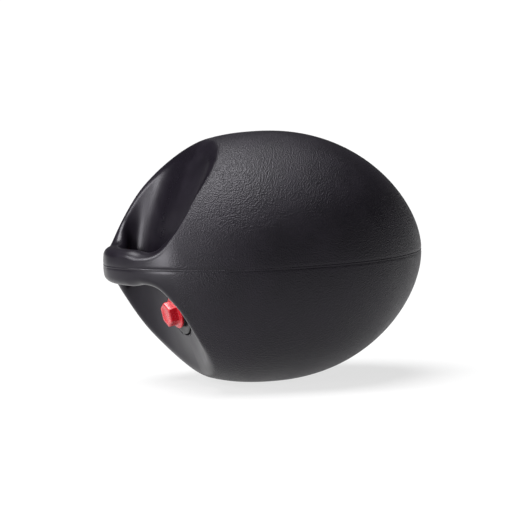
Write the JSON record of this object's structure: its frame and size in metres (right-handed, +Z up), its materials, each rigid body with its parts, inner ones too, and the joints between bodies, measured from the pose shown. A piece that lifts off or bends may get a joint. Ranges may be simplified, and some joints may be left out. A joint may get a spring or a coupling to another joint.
{
  "type": "boat cover hanging weight",
  "caption": "Hollow lemon-shaped fillable cover weight with a moulded-through handle eye and a red screw plug in the scoop behind the handle.",
  "frame": {"origin": "on the surface that the body stands on, under the middle of the body", "axes": "+X along the body, away from the handle; +Z up, at right angles to the mould's parting plane; +Y across the body"},
  "size_m": [0.2752, 0.205, 0.204],
  "materials": {
    "shell_plastic": "charcoal black polyethylene, fine leather grain outside, smooth in the scoops and on the handle",
    "insert_plastic": "smooth black polyethylene",
    "washer_rubber": "matt black rubber",
    "plug_plastic": "glossy red moulded plastic"
  },
  "bodies": {
    "shell": {"shell": "shell_plastic", "neck_insert": "insert_plastic"},
    "seal": {"sealing_washer": "washer_rubber"},
    "plug": {"filler_plug": "plug_plastic"}
  },
  "joints": [
    {"name": "plug_lift", "type": "slide", "parent": "shell", "child": "seal", "axis": [-0.9744, 0, -0.225], "range_m": [0, 0.0135]},
    {"name": "plug_turn", "type": "hinge", "parent": "seal", "child": "plug", "pos_m": [-0.0759, 0, 0.0615], "axis": [-0.9744, 0, -0.225], "range_deg": [0, 1620]}
  ],
  "couplings": [
    {"joint": "plug_lift", "follows": "plug_turn", "m_per_rad": 0.00047746}
  ]
}
